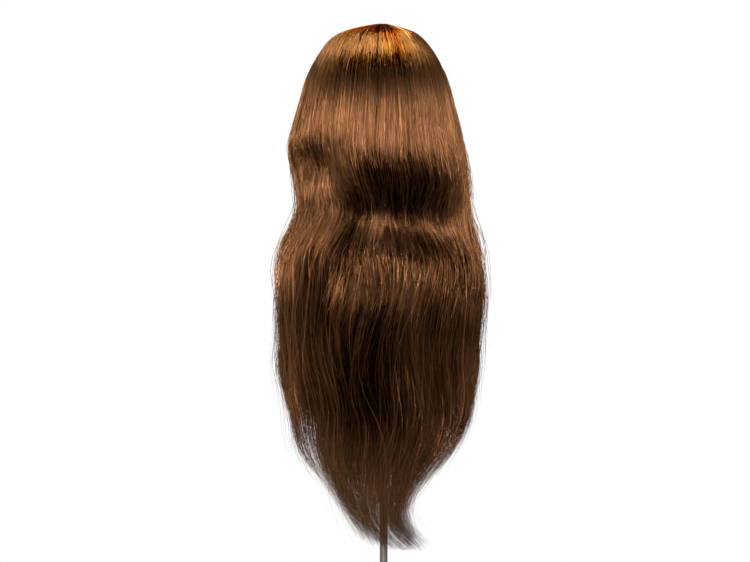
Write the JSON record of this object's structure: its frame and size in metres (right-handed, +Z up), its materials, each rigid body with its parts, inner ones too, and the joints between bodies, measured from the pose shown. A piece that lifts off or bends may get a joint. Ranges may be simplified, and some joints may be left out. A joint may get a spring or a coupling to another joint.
{
  "type": "mannequin training head",
  "caption": "Long-haired practice head for hairdressing, on a tilting and swivelling clamp with a sliding rod and a weighted round table base.",
  "frame": {"origin": "middle of the stand's underside, on the axis of the rod", "axes": "+Z up along the rod; the face looks along -Y, so +Y is the back of the head and +X is its left side"},
  "size_m": [0.2534, 0.2418, 0.85],
  "materials": {
    "hair": "satin",
    "skin": "satin",
    "foam": "matte",
    "eye": "gloss",
    "black_plastic": "satin",
    "nylon": "satin",
    "black_steel": "satin",
    "plated_steel": "satin",
    "plate_coat": "matte",
    "rubber": "matte",
    "fibre": "matte",
    "brass": "satin"
  },
  "bodies": {
    "stand": {"base_pad": "rubber", "base_plate": "plate_coat", "base_bolt": "plated_steel", "tube_flange": "black_plastic", "tube_end_plug": "plated_steel", "lower_tube": "black_steel", "clamp_collar": "black_plastic", "guide_bush": "nylon", "pressure_pad": "brass"},
    "knob": {"knob_stud": "plated_steel", "height_knob": "black_plastic"},
    "rod": {"rod": "black_steel", "rod_foot": "nylon", "stop_collar": "black_steel", "stop_collar_screw": "plated_steel", "swivel_washer": "nylon"},
    "yoke": {"tilt_yoke": "black_plastic", "yoke_grub_screw": "plated_steel", "friction_washer_left": "fibre", "friction_washer_right": "fibre", "tilt_bolt": "plated_steel", "tilt_washer": "plated_steel", "hair_bend_left": "hair", "hair_bend_nape": "hair", "hair_bend_right": "hair", "hair_fall_left": "hair", "hair_fall_back_left": "hair", "hair_fall_middle": "hair", "hair_fall_back_right": "hair", "hair_fall_right": "hair"},
    "lever": {"tilt_lever": "black_plastic", "lever_grip": "rubber"},
    "head": {"head_skin": "skin", "foam_core": "foam", "eye_left": "eye", "eye_right": "eye", "neck_socket": "nylon", "neck_plate": "black_plastic", "neck_plate_screw_1": "plated_steel", "neck_plate_screw_2": "plated_steel", "neck_plate_screw_3": "plated_steel", "tilt_tongue": "black_plastic", "peg": "black_plastic", "peg_screw": "plated_steel", "hair_front_left": "hair", "hair_front_right": "hair", "hair_crown_left": "hair", "hair_crown_right": "hair"}
  },
  "joints": [
    {"name": "height_slide", "type": "slide", "parent": "stand", "child": "rod", "axis": [0, 0, 1], "range_m": [0, 0.1]},
    {"name": "knob_turn", "type": "hinge", "parent": "stand", "child": "knob", "pos_m": [0, -0.02, 0.165], "axis": [0, -1, 0], "range_deg": [0, 360]},
    {"name": "head_swivel", "type": "hinge", "parent": "rod", "child": "yoke", "pos_m": [0, 0, 0.487], "axis": [0, 0, 1], "continuous": true},
    {"name": "head_tilt", "type": "hinge", "parent": "yoke", "child": "head", "pos_m": [0, 0, 0.526], "axis": [1, 0, 0], "range_deg": [-20, 40], "deforming": ["hair_bend_left", "hair_bend_nape", "hair_bend_right"]},
    {"name": "lever_turn", "type": "hinge", "parent": "yoke", "child": "lever", "pos_m": [0.022, 0, 0.526], "axis": [1, 0, 0], "range_deg": [0, 75]}
  ]
}
